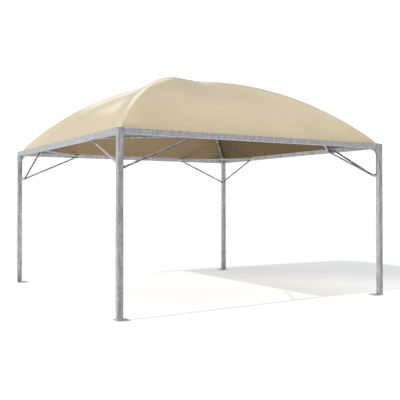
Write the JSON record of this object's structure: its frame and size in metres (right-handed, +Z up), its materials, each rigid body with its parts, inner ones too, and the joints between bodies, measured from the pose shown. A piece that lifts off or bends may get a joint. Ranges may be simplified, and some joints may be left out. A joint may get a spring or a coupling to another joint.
{
  "type": "dome-roof gazebo",
  "caption": "Square dome-roof gazebo: steel posts with foot plates, an eaves frame with braces, two crossing roof arches and a fabric canopy.",
  "frame": {"origin": "centre of the square footprint on the ground, under the crown of the roof", "axes": "+Z up; the front side, the wide one in the picture, faces -Y; +X to the right seen from the front"},
  "size_m": [4, 4, 3.1033],
  "materials": {
    "post_steel": "galvanised, matt",
    "beam_steel": "galvanised, matt",
    "arch_steel": "galvanised, matt",
    "brace_steel": "galvanised, satin",
    "plate_steel": "galvanised, matt",
    "cap_plastic": "moulded, matt",
    "canopy_fabric": "coated woven fabric, matt, sand beige"
  },
  "bodies": {
    "root": {"front_left_post": "post_steel", "front_right_post": "post_steel", "back_right_post": "post_steel", "back_left_post": "post_steel", "front_left_foot_plate": "plate_steel", "front_right_foot_plate": "plate_steel", "back_right_foot_plate": "plate_steel", "back_left_foot_plate": "plate_steel", "front_left_post_cap": "cap_plastic", "front_right_post_cap": "cap_plastic", "back_right_post_cap": "cap_plastic", "back_left_post_cap": "cap_plastic", "front_left_brace_tab": "plate_steel", "front_right_brace_tab": "plate_steel", "back_right_brace_tab": "plate_steel", "back_left_brace_tab": "plate_steel", "front_left_arch_gusset": "plate_steel", "front_right_arch_gusset": "plate_steel", "back_right_arch_gusset": "plate_steel", "back_left_arch_gusset": "plate_steel", "front_left_knee_brace_front": "brace_steel", "front_left_knee_brace_left": "brace_steel", "front_right_knee_brace_right": "brace_steel", "front_right_knee_brace_front": "brace_steel", "back_right_knee_brace_back": "brace_steel", "back_right_knee_brace_right": "brace_steel", "back_left_knee_brace_left": "brace_steel", "back_left_knee_brace_back": "brace_steel", "front_left_corner_brace": "brace_steel", "front_right_corner_brace": "brace_steel", "back_right_corner_brace": "brace_steel", "back_left_corner_brace": "brace_steel", "front_beam": "beam_steel", "right_beam": "beam_steel", "back_beam": "beam_steel", "left_beam": "beam_steel", "front_left_roof_arch": "arch_steel", "front_right_roof_arch": "arch_steel", "back_right_roof_arch": "arch_steel", "back_left_roof_arch": "arch_steel", "crown_connector": "arch_steel", "canopy": "canopy_fabric"}
  },
  "joints": []
}
